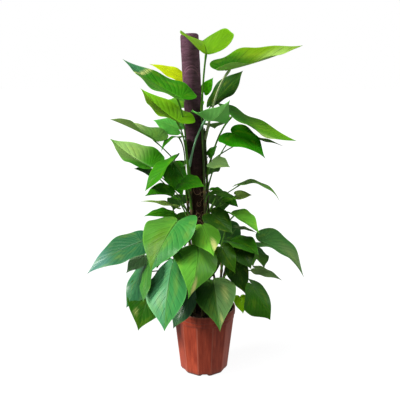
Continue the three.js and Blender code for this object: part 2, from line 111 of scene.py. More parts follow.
WHITE = (1, 1, 1)
YELLOW = rgb(185, 205, 5)
# painted light: a glowing green that stands in for light through a leaf in the pole's shadow
PAINTED_LIGHT_GREEN = rgb(120, 255, 20)
LIME = rgb(112, 165, 14)
YOUNG = rgb(88, 155, 16)
GRASS = rgb(70, 138, 34)
FRESH = rgb(46, 122, 8)
MOSS = rgb(84, 128, 30)
OLIVE = rgb(56, 106, 10)
DEEP = rgb(40, 98, 12)
DARK = rgb(36, 78, 14)
SEA = rgb(54, 128, 64)
TEAL = rgb(70, 134, 88)
SILVER = rgb(98, 130, 74)
PALE = rgb(150, 185, 88)
CREAM = rgb(215, 215, 130)
# partly the paler colour of leaf undersides, partly painted light shining through the leaf
BACKLIT = rgb(120, 185, 70)
WARM = rgb(150, 165, 40)
CORK = rgb(112, 92, 55)
STALK_TONE = rgb(105, 165, 50)
STEM_TONE = rgb(62, 100, 30)
OLD_STEM_TONE = rgb(72, 66, 36)


# ---- shader maths ----

# The sockets of a Mix node that mixes colours, by number.
MIX_FACTOR, MIX_BELOW, MIX_ABOVE, MIX_RESULT = 0, 6, 7, 2


class Value:
    """A shader socket that takes part in Python arithmetic."""

    def __init__(self, finish, socket):
        self.finish = finish
        self.socket = socket

    def math(self, operation, *others, first=None):
        inputs = dict(enumerate([self if first is None else first, *others]))
        return self.finish.node("Math", {"operation": operation}, inputs)

    def __add__(self, other):
        return self.math("ADD", other)

    def __sub__(self, other):
        return self.math("SUBTRACT", other)

    def __mul__(self, other):
        return self.math("MULTIPLY", other)

    def __pow__(self, other):
        return self.math("POWER", other)

    def __gt__(self, other):
        return self.math("GREATER_THAN", other)

    def __rsub__(self, other):
        return self.math("SUBTRACT", self, first=other)

    __radd__ = __add__
    __rmul__ = __mul__

    def size(self):
        return self.math("ABSOLUTE")

    def wave(self):
        """1 at whole numbers, 0 halfway between them."""
        return (self * tau).math("COSINE") * 0.5 + 0.5

    def fade(self, low, high):
        """0 below `low`, 1 above `high`, smooth between; `low` may be the larger."""
        settings = {"interpolation_type": "SMOOTHSTEP"}
        return self.finish.node("MapRange", settings, {"Value": self, 1: low, 2: high})


class Finish:
    """A procedural material on the Principled shader."""

    def __init__(self, name, **sockets):
        self.material = bpy.data.materials.new(name)
        self.material.use_nodes = True
        self.tree = self.material.node_tree
        self.shader = self.tree.nodes["Principled BSDF"]
        self.set(**sockets)

    def feed(self, socket, value):
        if isinstance(value, Value):
            self.tree.links.new(value.socket, socket)
        elif socket.type == "RGBA" and len(value) == 3:
            socket.default_value = (*value, 1)
        else:
            socket.default_value = value

    def set(self, **sockets):
        for name, value in sockets.items():
            self.feed(self.shader.inputs[name.replace("_", " ")], value)

    def node(self, kind, settings, inputs, output=0):
        """A node of some kind, with its settings and the values or links of its sockets."""
        made = self.tree.nodes.new("ShaderNode" + kind)
        for name, value in settings.items():
            setattr(made, name, value)
        for name, value in inputs.items():
            self.feed(made.inputs[name], value)
        return Value(self, made.outputs[output])

    def held(self, name, output="Color"):
        """A colour that the mesh holds at its points."""
        return self.node("Attribute", {"attribute_name": name}, {}, output)

    def values(self, name):
        """Three numbers that the mesh holds at its points."""
        vector = self.held(name, "Vector")
        return [self.node("SeparateXYZ", {}, {0: vector}, axis) for axis in range(3)]

    def noise(self, vector, scale, detail, rough):
        inputs = {"Vector": vector, "Scale": scale, "Detail": detail, "Roughness": rough}
        return self.node("TexNoise", {}, inputs)

    def grain(self, scale, detail=2, rough=0.5):
        """Noise that has no direction."""
        return self.noise(self.node("TexCoord", {}, {}, "Object"), scale, detail, rough)

    def streaks(self, x, y, z, detail=2, rough=0.5):
        """Noise drawn out by the values that it runs over."""
        stretched = self.node("CombineXYZ", {}, {0: x, 1: y, 2: z})
        return self.noise(stretched, 1, detail, rough)

    def mix(self, factor, below, above):
        inputs = {MIX_FACTOR: factor, MIX_BELOW: below, MIX_ABOVE: above}
        return self.node("Mix", {"data_type": "RGBA"}, inputs, MIX_RESULT)

    def layers(self, colour, *coats):
        """A colour under coats of others, each given as its share and its colour."""
        for share, tint in coats:
            colour = self.mix(share, colour, tint)
        return colour

    def scale(self, colour, amount):
        """A colour made darker or lighter by a number."""
        settings = {"operation": "SCALE"}
        return self.node("VectorMath", settings, {0: colour, "Scale": amount})

    def done(self, colour, rough, relief, strength, depth, **sockets):
        """The material, given its colour and roughness and a relief of some depth in metres."""
        inputs = {"Height": relief, "Strength": strength, "Distance": depth}
        bump = self.node("Bump", {}, inputs)
        self.set(Base_Color=colour, Roughness=rough, Normal=bump, **sockets)
        return self.material


# ---- materials ----

VEINS = 15
VEIN_SHIFT = 0.4
THREADS_ROUND = 64
THREADS_PER_METRE = 330
FOLDS = (0.912, 0.921)
FOLD_BOW = 0.05
FLOOR_GLOW = 0.93


def blade_finish():
    """Leaf skin: dark side veins painted as shade in their grooves, painted highlights on the ridges between
    them and along one side of each, painted shade along the midrib crease, marbling drawn along the veins,
    paler underside.
    """
    skin = Finish("leaf_blade", Specular_IOR_Level=0.04, Coat_Roughness=0.28)
    vein, rib, seed = skin.values("flat")
    cream, upper, gloss = skin.values("marks")
    tone = skin.held("tone")
    across = rib.size()
    phase = vein * VEINS + (rib > 0) * VEIN_SHIFT
    inside = across.fade(0.03, 0.2) * across.fade(1, 0.75)
    ridge_highlight = (1 - phase.wave()) ** 2 * inside
    vein_highlight = (phase + 0.14).wave() ** 12 * inside
    fine_vein = (phase * 4).wave() ** 8 * inside
    midrib = across.fade(0.14, 0.05)
    crease = across.fade(0.07, 0.02)
    margin = across.fade(0.95, 0.99)

    streaks = skin.streaks(vein * 34, rib * 2.2, seed, 4, 0.6)
    blotches = skin.streaks(vein * 5, rib * 2.5, seed + 7)
    breaks = skin.streaks(vein * 12, rib, seed + 3).fade(0.3, 0.65)
    feathers = skin.streaks(vein * 80, rib * 3, seed, 4, 0.7)
    side_vein = phase.wave() ** 22 * inside * breaks
    vein_shade = 0.42 + 0.12 * (seed * 1.7).math("SINE")
    marbling = (cream * (0.1 + 2 * feathers)).fade(0.3, 1)

    colour = skin.scale(tone, 0.45 + 0.75 * streaks + 0.36 * blotches)
    lighter = skin.mix(0.2, skin.scale(tone, 1.7), PALE)
    # painted highlights: paler ridges between the side veins and a thin pale line beside each vein; the pale
    # margin is the leaf's own colour
    colour = skin.mix(0.1 * ridge_highlight + 0.3 * vein_highlight + 0.5 * margin, colour, lighter)
    colour = skin.mix(0.4 * blotches.fade(0.5, 0.75), colour, skin.mix(0.5, colour, WARM))
    # painted shade: darker lines in the grooves of the side veins and the fine veins
    colour = skin.scale(colour, 1 - vein_shade * side_vein - 0.14 * fine_vein)
    # the pale midrib is its own colour; the darkening along the midrib crease is painted shade
    colour = skin.scale(skin.mix(0.4 * midrib, colour, lighter), 1 - 0.55 * crease)
    colour = skin.mix(0.85 * marbling, colour, CREAM)
    underside = skin.mix(0.25 * side_vein + 0.3 * midrib, tone, PALE)
    colour = skin.mix(upper, underside, colour)

    rough = 0.5 - 0.24 * gloss * upper + 0.1 * (blotches - 0.5) + 0.05 * marbling
    relief = 0.6 * streaks + 0.1 * skin.grain(900) - 0.4 * fine_vein - 0.5 * side_vein - 0.6 * crease
    return skin.done(colour, rough, relief, 0.5, 0.0008, Coat_Weight=0.4 * gloss * gloss * upper)


def stalk_finish():
    """Stems and leaf stalks: lengthwise streaks, corky scars at the nodes."""
    skin = Finish("leaf_stalk")
    along, around, seed = skin.values("flat")
    scar = skin.values("marks")[0]
    tone = skin.held("tone")
    fibres = skin.streaks(along * 6, around * 12, seed * 2, 4, 0.6)
    flecks = skin.grain(420).fade(0.6, 0.72)
    cork = skin.grain(260, 4)
    scarred = (scar + (cork - 0.5) * scar * 1.4).fade(0.1, 0.8)
    colour = skin.layers(skin.scale(tone, 0.3 + 1.4 * fibres), (0.3 * flecks, PALE), (scarred, CORK))
    return skin.done(colour, 0.42 + 0.3 * scar, fibres + 0.8 * cork * scar, 0.4, 0.0006)


def root_finish():
    """Aerial roots: brown, papery, paler along their ridges."""
    bark = Finish("aerial_root", Specular_IOR_Level=0.25)
    along, around, seed = bark.values("flat")
    fibres = bark.streaks(along * 27, around * 12, seed * 3, 4, 0.65)
    colour = bark.mix(fibres.fade(0.3, 0.75), rgb(96, 66, 48), rgb(190, 156, 122))
    return bark.done(colour, 0.75 + 0.15 * fibres, fibres, 0.6, 0.0005)


def net_finish():
    """Dark plum-brown knitted net, with threads, loop rows and two folds, darker and browner lower down, and
    painted shade below the top.
    """
    cloth = Finish("pole_net", Specular_IOR_Level=0.15)
    around, along, browning = cloth.values("flat")
    turn = around * (THREADS_ROUND * pi)
    rise = along * (THREADS_PER_METRE * pi)
    left = (turn + rise).math("SINE").size()
    right = (turn - rise).math("SINE").size()
    thread = left.math("MINIMUM", right).fade(0.55, 0.1)
    dust = cloth.grain(60, 5, 0.65)
    patches = cloth.grain(9, 3)
    rows = cloth.streaks(around * 5, along * 130, 0, 3, 0.7)
    ground = cloth.mix(browning, rgb(84, 52, 64), rgb(54, 34, 25))
    yarn = cloth.mix(browning, rgb(158, 112, 136), rgb(112, 76, 60))
    colour = cloth.mix(thread * (0.35 + 0.65 * dust), ground, yarn)
    bow = along - FOLD_BOW * ((around - 0.75) * tau).math("COSINE")
    low_fold, high_fold = ((bow - height).size().fade(0.002, 0.0006) for height in FOLDS)
    # painted shade: the net grows darker below its top, where the leaves shade it
    shade = 0.6 + 0.4 * along.fade(0.87, 0.96)
    wear = 0.8 * patches + 2.2 * (rows - 0.25) + 1.2 * (low_fold + high_fold)
    return cloth.done(cloth.scale(colour, shade * wear), 0.62 + 0.2 * dust, thread + 0.5 * dust, 0.7, 0.0009)


def pipe_finish():
    """Grey plastic pipe inside the net, scuffed along its length."""
    plastic = Finish("pole_pipe")
    scuffs = plastic.grain(70, 5, 0.6)
    colour = plastic.mix(scuffs.fade(0.4, 0.7), rgb(150, 150, 145), rgb(112, 112, 108))
    return plastic.done(colour, 0.35 + 0.3 * scuffs, scuffs, 0.2, 0.0005)


def pot_finish():
    """Moulded terracotta plastic: faint flow lines, fine scratches, dust low down; painted highlights on the
    soft corners and along the rim's top edge, painted shade along the foot and inside the pot.
    """
    plastic = Finish("pot_plastic", Specular_IOR_Level=0.45, Coat_Weight=0.06, Coat_Roughness=0.3,
                     Sheen_Weight=0.4, Sheen_Roughness=0.4, Sheen_Tint=(1, 0.85, 0.8))
    around, up, inside = plastic.values("flat")
    flow = plastic.streaks(around * 40, up * 2.5, 0, 4, 0.55)
    cloud = plastic.grain(14, 4, 0.6)
    scratch = plastic.streaks(around * 160, up * 18, 3, 3, 0.7).fade(0.62, 0.7)
    dust = up.fade(0.16, 0) * cloud.fade(0.42, 0.62) + up.fade(0.9, 1) * cloud.fade(0.5, 0.7)
    # painted highlight: a thin pale line down each soft corner between the facets
    corner_highlight = (around * POT_SIDES + 0.5).wave() ** 90 * up.fade(0.84, 0.81)
    base = plastic.mix(flow.fade(0.35, 0.65), rgb(154, 50, 22), rgb(196, 80, 48))
    # painted highlights: the pale corner lines and a pale line along the rim's top edge
    colour = plastic.layers(base, (0.4 * cloud.fade(0.3, 0.75), rgb(168, 55, 24)),
                            (0.35 * corner_highlight + 0.3 * up.fade(0.975, 0.995), rgb(226, 150, 128)))
    # painted shade: darker along the foot, next to the floor
    colour = plastic.scale(colour, 0.45 + 0.55 * up.fade(0.025, 0.045))
    # painted shade: the inside of the pot is darker; the scratches and the dust are the pot's own
    colour = plastic.layers(colour, (0.22 * scratch, rgb(200, 130, 105)),
                            (0.3 * dust, rgb(150, 110, 85)), (0.6 * inside, rgb(100, 42, 28)))
    rough = 0.4 + 0.12 * cloud + 0.2 * dust + 0.08 * scratch
    relief = 0.6 * flow + 0.25 * plastic.grain(700) - 0.5 * scratch
    return plastic.done(colour, rough, relief, 0.22, 0.0008)


def soil_finish():
    """Black potting soil with fibres and a little grit."""
    earth = Finish("potting_soil", Specular_IOR_Level=0.2)
    crumbs = earth.grain(210, 5, 0.7)
    fibres = earth.grain(90, 2, 0.9).fade(0.66, 0.74)
    grit = earth.grain(520, 1).fade(0.72, 0.76)
    ground = earth.mix(crumbs.fade(0.3, 0.75), rgb(20, 14, 10), rgb(62, 44, 32))
    colour = earth.layers(ground, (0.45 * fibres, rgb(120, 88, 60)), (0.6 * grit, rgb(190, 180, 160)))
    return earth.done(colour, 0.88 + 0.1 * crumbs, crumbs + 0.4 * grit, 0.8, 0.002)


def floor_finish():
    """Matt white studio floor that glows a little, so that shadows on it stay pale."""
    paper = Finish("studio_floor", Base_Color=rgb(95, 95, 95), Roughness=0.9,
                   Specular_IOR_Level=0.1, Emission_Color=WHITE, Emission_Strength=FLOOR_GLOW)
    return paper.material


# ---- meshes ----

class Piece:
    """One object that is being put together: its points and faces, and what its points hold.

    `flat` is a place on the unrolled surface, `marks` its scars or marbling, `tone` its colour.
    """

    def __init__(self, name):
        self.name = name
        self.points = []
        self.faces = []
        self.slots = []
        self.held = {"flat": [], "marks": [], "tone": []}
        self.count = 0

    def add(self, points, faces, slot=0, flat=(0, 0, 0), marks=(0, 0, 0), tone=(0, 0, 0)):
        count = len(points)
        self.points.append(points)
        self.faces.extend(tuple(i + self.count for i in face) for face in faces)
        self.slots.extend([slot] * len(faces))
        for name, value in (("flat", flat), ("marks", marks), ("tone", tone)):
            self.held[name].append(np.broadcast_to(np.asarray(value, float), (count, 3)))
        self.count += count

    def build(self, materials, crease=40):
        mesh = bpy.data.meshes.new(self.name)
        mesh.from_pydata(np.concatenate(self.points).tolist(), [], self.faces)
        for material in materials:
            mesh.materials.append(material)
        mesh.polygons.foreach_set("material_index", self.slots)
        for name in ("flat", "marks"):
            layer = mesh.attributes.new(name, "FLOAT_VECTOR", "POINT")
            layer.data.foreach_set("vector", np.concatenate(self.held[name]).ravel())
        tone = np.concatenate(self.held["tone"])
        layer = mesh.attributes.new("tone", "FLOAT_COLOR", "POINT")
        layer.data.foreach_set("color", np.c_[tone, np.ones(len(tone))].ravel())
        mesh.polygons.foreach_set("use_smooth", [True] * len(mesh.polygons))
        mesh.set_sharp_from_angle(angle=radians(crease))
        mesh.update()
        return place(self.name, mesh)


def place(name, data):
    """A new object in the scene."""
    made = bpy.data.objects.new(name, data)
    bpy.context.scene.collection.objects.link(made)
    return made


def unit(vector):
    return vector / np.linalg.norm(vector)


def blend(low, high, share):
    return low + (high - low) * share


def ease(value, low, high):
    share = np.clip((value - low) / (high - low), 0, 1)
    return share * share * (3 - 2 * share)


def bell(value, width):
    """1 at zero, falling off smoothly to both sides."""
    return np.exp(-((value / width) ** 2))


def circle(steps):
    """The angles of so many even steps round a circle."""
    return np.arange(steps) * tau / steps


def heading(angle):
    """The level direction at an angle from +X."""
    return np.array([cos(angle), sin(angle), 0])


def grid_faces(rows, columns):
    """Quads between rings of points."""
    return [(i * columns + j, i * columns + (j + 1) % columns,
             (i + 1) * columns + (j + 1) % columns, (i + 1) * columns + j)
            for i in range(rows - 1) for j in range(columns)]


def closed_tube(rings, sides):
    """The faces of a tube of rings with both ends closed."""
    last = (rings - 1) * sides
    ends = [tuple(range(sides - 1, -1, -1)), tuple(range(last, last + sides))]
    return grid_faces(rings, sides) + ends


def tube_rings(path, radii, sides, up=(0.0, 0.0, 1.0), groove=0.0):
    """Rings of points along a path, with the frame carried along and a groove on its upper side."""
    tangents = np.gradient(path, axis=0)
    normal = np.asarray(up, float)
    angles = circle(sides)
    section = 1 - groove * bell(np.minimum(angles, tau - angles), 0.6)
    rings = []
    for point, tangent, radius in zip(path, tangents, radii):
        tangent = unit(tangent)
        normal = unit(normal - tangent * (normal @ tangent))
        across = np.cross(tangent, normal)
        ring = np.outer(np.cos(angles) * section, normal) + np.outer(np.sin(angles) * section, across)
        rings.append(point + ring * radius)
    return np.concatenate(rings)


def add_tube(piece, path, radii, sides, slot, seed, tone=(0, 0, 0), scar=0.0, **shape):
    """A closed tube; `tone` and `scar` may change along it."""
    rings = len(path)
    points = tube_rings(path, radii, sides, **shape)
    along = np.repeat(np.linspace(0, 1, rings), sides)
    around = np.tile(np.abs(np.linspace(-1, 1, sides, endpoint=False)), rings)
    flat = np.c_[along, around, np.full(rings * sides, seed)]
    scars = np.repeat(np.broadcast_to(scar, rings), sides)
    tones = np.repeat(np.broadcast_to(tone, (rings, 3)), sides, axis=0)
    piece.add(points, closed_tube(rings, sides), slot, flat, np.outer(scars, (1, 0, 0)), tones)


# ---- the flat leaf ----

# One half of the heart-shaped outline for a blade of length 1 with its stalk at (0, 0).
HALF_OUTLINE = [
    [(0, 0), (0.02, -0.13), (0.2, -0.21), (0.31, -0.06)],
    [(0.31, -0.06), (0.42, 0.09), (0.4, 0.34), (0.27, 0.57)],
    [(0.27, 0.57), (0.18, 0.73), (0.05, 0.84), (0, 1)],
]
OUTLINE_WIDTH = 0.77
VEIN_START = 0.05
VEIN_SLANT = 2.8
VEIN_CURVE = 1.45
MARGIN_STEPS = 84
RIB_PARTS = [0, 0.03, 0.08, 0.16, 0.26, 0.38, 0.5, 0.62, 0.74, 0.85, 0.94, 1]


def bezier(knots, shares):
    a, b, c, d = (np.asarray(knot, float) for knot in knots)
    u = np.asarray(shares)[:, None]
    return a * (1 - u) ** 3 + 3 * b * u * (1 - u) ** 2 + 3 * c * u * u * (1 - u) + d * u ** 3


def outline(steps):
    """Evenly spaced points down one side of the blade, from its notch to its tip."""
    shares = np.linspace(0, 1, 200)
    path = np.concatenate([bezier(knots, shares) for knots in HALF_OUTLINE])
    run = np.r_[0, np.cumsum(np.linalg.norm(np.diff(path, axis=0), axis=1))]
    wanted = np.linspace(0, run[-1], steps + 1)
    return np.c_[np.interp(wanted, run, path[:, 0]), np.interp(wanted, run, path[:, 1])]


class FlatLeaf:
    """The flat net of a blade: rows follow the side veins from midrib to margin."""

    def __init__(self):
        margin = outline(MARGIN_STEPS)
        ribs = [-part for part in RIB_PARTS[:0:-1]] + RIB_PARTS
        seen = {}
        table = []
        index = []
        for number, (x, y) in enumerate(margin):
            root = max(0.0, (y - VEIN_START) / (1 - VEIN_START)) ** VEIN_SLANT
            row = []
            for rib in ribs:
                spot = (x * rib, root + (y - root) * abs(rib) ** VEIN_CURVE)
                row.append(seen.setdefault(tuple(np.round(spot, 6)), len(seen)))
                if row[-1] == len(table):
                    table.append((*spot, number / MARGIN_STEPS, rib))
            index.append(row)
        self.x, self.y, self.vein, self.rib = np.array(table).T
        self.faces = []
        for low, high in zip(index, index[1:]):
            for corners in zip(low, low[1:], high[1:], high):
                face = tuple(dict.fromkeys(corners))
                if len(face) > 2:
                    self.faces.append(face)
        self.rim = [row[-1] for row in index] + [row[0] for row in index[-2:0:-1]]


FLAT = FlatLeaf()


# ---- the plant's description ----

LEAF = dict(width=0.7, bend=20, twist=0, fold=(8, 8), cup=0.1, wave=0.025, rise=0.35, drop=0.2,
            stalk=PETIOLE_RADIUS, tone=FRESH, gloss=0.5, cream=(), zones=(), under=None)
VINES = {}


def leaf(start, joint, tip, face, **more):
    """One leaf, in millimetres: the height of its stalk on the stem, where the stalk meets the
    blade, the blade's tip, and where its upper side looks; `more` is what differs from LEAF."""
    made = SimpleNamespace(**{**LEAF, **more})
    made.start = start * MM
    made.joint = np.array(joint) * MM
    made.tip = np.array(tip) * MM
    made.face = np.array(face, float)
    made.phase = (joint[0] + 2 * joint[1] + 3 * joint[2]) * 0.1
    made.left_tone = more.get("left_tone", made.tone)
    made.stalk_tone = more.get("stalk_tone", blend(made.tone, STALK_TONE, 0.7))
    return made


def vine(name, root, head, top, leaves):
    """Notes a stem rooted at (degrees round the pole, mm from it) that reaches `head` at its top."""
    VINES[name] = SimpleNamespace(root=root, head=head, top=top * MM, leaves=leaves)


vine("vine_front_left", (-125, 50), (-128, CLIMB), 700, [
    leaf(640, (-70, -110, 890), (-240, -30, 1000), (0.8, -0.6, 0.3), bend=-15, fold=(10, 25),
         left_tone=GRASS, stalk=2.8, zones=((0.86, 0, 0.2, 0.5, TEAL), (0.66, 0, 0.02, 0.4, CREAM))),
    # painted light: the brighter LIME half stands in for light on the half that lies in shade
    leaf(600, (-75, -90, 820), (-200, 65, 915), (0.3, -0.8, 0.5), width=0.55, bend=-20, fold=(10, 40),
         tone=rgb(102, 165, 16), stalk=2.8, twist=10, cup=0.2, left_tone=LIME),
    # painted light: the blade's bright pale colours, the underside's most of all, stand in for light that
    # this down-facing leaf doesn't get
    leaf(680, (0, -85, 830), (65, -250, 890), (0, 0.7, 0.7), width=0.55, bend=-60, fold=(20, 15),
         tone=rgb(100, 205, 90), stalk_tone=rgb(150, 205, 160), stalk=3.6, under=rgb(160, 255, 130)),
    leaf(560, (-85, -105, 715), (-175, -110, 620), (-0.5, -0.6, 0.6), width=0.85, twist=45, fold=(0, 30),
         gloss=0.2),
    leaf(500, (-95, -75, 600), (-170, -180, 620), (-0.3, -0.8, 0.5), twist=-45, fold=(10, 40), cup=0.2,
         gloss=0.2, under=FRESH),
    leaf(540, (-66, -85, 642), (1, -140, 640), (-0.1, -0.6, 0.8), width=0.8),
    leaf(420, (-80, -140, 535), (-150, -255, 420), (-0.3, -0.8, 0.4), width=0.9, bend=40, twist=30, cup=0,
         tone=rgb(78, 138, 44), gloss=0.8, left_tone=rgb(52, 124, 52),
         zones=((0.5, 0.08, 0.3, 0.1, MOSS),)),
])
vine("vine_front_right", (-60, 48), (-38, CLIMB), 860, [
    leaf(850, (5, -130, 1010), (-5, 5, 1055), (0.2, -0.7, 0.7), width=1.25, bend=15, twist=20,
         fold=(50, 20), cup=0, tone=rgb(88, 138, 3), stalk=3.2, left_tone=rgb(128, 180, 14)),
    leaf(600, (25, -60, 700), (75, -115, 692), (0, -0.7, 0.7), width=0.75, stalk=1.5, tone=SILVER),
    leaf(560, (20, -45, 615), (62, -80, 608), (0.2, -0.4, 0.9), width=0.5, bend=40, stalk=1.5),
    leaf(420, (22, -55, 538), (86, -115, 490), (0.1, -0.75, 0.65), width=0.8, tone=DARK),
    leaf(380, (-5, -125, 520), (25, -250, 465), (-0.2, -0.3, 0.9), width=0.65, fold=(-10, -25), cup=0.2,
         tone=rgb(92, 158, 42), cream=((0.7, -0.12, 0.3, 0.1, 1.0),)),
    leaf(470, (55, -50, 577), (98, -85, 591), (0, -0.4, 0.9), width=0.6, stalk=1.5, tone=YOUNG),
    leaf(500, (20, -85, 610), (92, -115, 592), (0.1, -0.3, 0.9), width=0.45, bend=60, stalk=1.5, tone=DARK),
])
vine("vine_right", (0, 52), (14, CLIMB), 800, [
    # painted light: the pale underside colour stands in for light on the underside, which lies in shade
    leaf(760, (60, -60, 968), (290, -15, 1040), (-0.9, -0.3, 0.3), bend=-10, twist=-15,
         fold=(20, 30), tone=rgb(102, 140, 10), stalk_tone=rgb(190, 200, 150), stalk=3.8,
         zones=((0.05, 0, 0.3, 0.5, FRESH), (0.65, 0.1, 0.25, 0.2, PALE)), under=rgb(200, 240, 120)),
    leaf(650, (70, -55, 845), (280, -35, 760), (0.8, -0.1, 0.6), width=1.05, bend=-20, twist=-10,
         fold=(5, 5), tone=YOUNG, stalk=3.4, cup=0, gloss=0.2,
         zones=((0.1, 0, 0.3, 0.5, FRESH), (0.6, 0.3, 0.4, 0.12, PALE))),
    leaf(600, (80, -95, 790), (170, -170, 725), (0.3, -0.4, 0.9), width=0.95, bend=25, twist=30, cup=0.2,
         tone=rgb(34, 122, 2), gloss=0.2),
    leaf(520, (107, -40, 629), (228, -70, 582), (0.3, -0.1, 0.93), width=0.4, bend=85,
         tone=rgb(110, 165, 70)),
    leaf(690, (15, -12, 714), (40, -25, 745), (-0.5, -0.8, 0.3), stalk=1.5),
    leaf(500, (100, -10, 588), (150, -20, 590), (0, -0.9, 0.4), width=0.6, stalk=1.5, tone=PALE),
    leaf(470, (69, -25, 585), (106, -45, 556), (0.1, -0.8, 0.6), stalk=1.5),
])
vine("vine_left", (180, 52), (172, CLIMB), 640, [
    # painted sheen: the pale zone towards the tip
    leaf(620, (-145, -70, 765), (-285, -25, 825), (0.4, -0.2, 0.9), width=0.9, bend=10, twist=-30,
         fold=(15, 45), cup=0.2, tone=rgb(96, 150, 60), gloss=0.7,
         zones=((0.7, 0, 0.35, 0.5, rgb(172, 198, 116)),)),
    # painted sheen: the pale zone towards the tip
    leaf(520, (-165, -35, 680), (-305, 85, 755), (0.1, -0.6, 0.8), bend=-20, fold=(25, 40), cup=0.2,
         zones=((0.6, 0, 0.35, 0.5, rgb(128, 166, 84)),)),
    leaf(560, (-75, -20, 771), (-127, -90, 734), (-0.3, -0.2, 0.9), width=0.35, bend=70),
    leaf(500, (-158, -5, 655), (-215, -40, 676), (-0.2, -0.5, 0.8), width=0.8),
    leaf(600, (-100, 5, 676), (-66, -45, 588), (-0.1, -0.8, 0.6)),
    leaf(420, (-95, -50, 542), (-180, -115, 545), (0, -0.5, 0.9), width=0.5, bend=35, fold=(-10, -10),
         cup=0, gloss=0.2, under=FRESH),
])
vine("vine_back_left", (125, 50), (125, CLIMB), 820, [
    leaf(800, (-58, 47, 940), (-170, 60, 989), (0.3, -0.6, 0.75), width=0.5, tone=YELLOW),
    leaf(700, (-80, 20, 790), (-162, 60, 816), (0.2, -0.7, 0.6), tone=rgb(90, 180, 70)),
    leaf(740, (-50, 90, 860), (-90, 250, 880), (-0.1, 0.2, 0.95), tone=YOUNG),
    leaf(560, (-70, 100, 680), (-130, 240, 610), (-0.3, 0.5, 0.8)),
    leaf(480, (-60, 110, 560), (-110, 230, 480), (-0.2, 0.6, 0.7), tone=DEEP),
])
vine("vine_back_right", (60, 50), (62, CLIMB), 840, [
    leaf(780, (30, 60, 870), (125, 110, 970), (-0.4, -0.9, 0.2), width=0.65, bend=10, twist=-65,
         fold=(25, 0), cup=0.2, tone=rgb(28, 72, 8), gloss=0.2),
    # painted light: the glowing green on both sides stands in for light through this leaf, which the pole
    # shades
    leaf(830, (0, 28, 905), (28, 32, 948), (-0.3, -0.9, 0.3), width=0.75, stalk=1.5,
         tone=PAINTED_LIGHT_GREEN, under=PAINTED_LIGHT_GREEN),
    leaf(640, (128, 30, 766), (247, 20, 738), (0.2, -0.2, 0.95), width=0.35, tone=OLIVE),
    leaf(700, (20, 120, 800), (40, 280, 770), (0, 0.4, 0.9), tone=YOUNG),
    leaf(560, (0, 110, 660), (-10, 260, 590), (0.1, 0.5, 0.8)),
    leaf(470, (40, 120, 560), (70, 240, 470), (0.1, 0.6, 0.7), tone=DEEP),
])
vine("shoot_front", (-92, 62), (-92, 74), 400, [
    leaf(390, (-20, -150, 463), (-45, -285, 355), (0.1, -1, -0.1), width=0.75, bend=70, twist=30,
         fold=(-10, -20), tone=rgb(94, 166, 52), cream=((0.82, -0.04, 0.2, 0.05, 1.0),)),
    leaf(340, (-95, -138, 405), (-115, -235, 235), (-0.5, -0.8, 0.3), width=1, twist=60, fold=(0, 15),
         cup=0, tone=rgb(78, 146, 96), left_tone=SEA),
    leaf(290, (-40, -100, 310), (-95, -145, 200), (-0.2, -0.8, 0.5), width=0.85, bend=5, twist=70,
         fold=(-20, 30), cup=0.2, tone=rgb(54, 104, 66), gloss=0.9),
    leaf(330, (25, -100, 340), (45, -225, 230), (0, -0.7, 0.7), width=0.75, bend=75, fold=(-20, -5),
         tone=rgb(58, 108, 40), cream=((0.35, -0.17, 0.35, 0.1, 0.6), (0.8, -0.05, 0.16, 0.04, 0.65)),
         left_tone=rgb(104, 146, 80)),
])
vine("shoot_left", (-155, 64), (-160, 90), 400, [
    # painted sheen: the bluish zone near the tip
    leaf(390, (-193, -60, 450), (-361, -90, 356), (-0.25, -0.5, 0.8), width=0.6, bend=40,
         tone=rgb(40, 98, 58), gloss=0.9, zones=((0.85, 0, 0.3, 0.5, rgb(78, 128, 112)),)),
    # painted light: very pale colours on both sides stand in for light that the leaves above keep off this
    # one
    leaf(370, (-190, -25, 395), (-240, -95, 360), (-0.3, -0.6, 0.8), fold=(0, -20), cup=0,
         tone=rgb(190, 235, 180), under=rgb(225, 255, 215)),
    leaf(330, (-190, -48, 365), (-250, -46, 225), (-0.6, -0.8, -0.1), width=0.85, bend=-15, twist=70,
         fold=(-20, 0), tone=rgb(56, 124, 78), gloss=1.0),
    leaf(370, (-170, -110, 400), (-180, -190, 305), (-0.5, -0.3, 0.8), width=0.55, bend=-15, twist=70,
         fold=(0, 20), tone=rgb(58, 118, 44)),
    leaf(280, (-168, -35, 295), (-210, -75, 160), (-0.3, -0.9, 0.35), width=1, tone=rgb(32, 86, 8),
         cream=((0.62, 0.12, 0.18, 0.1, 0.5),), gloss=0.6, under=DEEP),
    leaf(400, (-88, -12, 552), (-196, -55, 578), (0, -0.3, 0.95), width=0.25, tone=PALE),
])
vine("shoot_right", (-38, 62), (-38, 84), 440, [
    leaf(300, (95, -62, 375), (128, -88, 290), (0.3, -0.85, 0.4), width=0.8, tone=DARK),
    leaf(430, (85, -75, 540), (160, -160, 505), (-0.1, -0.1, 1), width=0.75, twist=-10, fold=(35, 15),
         cup=0, tone=rgb(84, 148, 40), gloss=0.3),
    leaf(400, (85, -60, 450), (165, -120, 425), (0, 0.1, 1), width=1, bend=35, twist=-30, fold=(5, 35),
         tone=rgb(46, 110, 12)),
    leaf(370, (111, -80, 436), (141, -125, 384), (0.1, -0.85, 0.5), width=1, tone=DARK),
    leaf(350, (55, -95, 440), (93, -135, 373), (0.1, -0.85, 0.5), tone=OLIVE),
    leaf(260, (114, -60, 268), (122, -90, 224), (0.2, -0.9, 0.3), width=0.9, stalk=1.5,
         tone=rgb(150, 215, 10)),
])
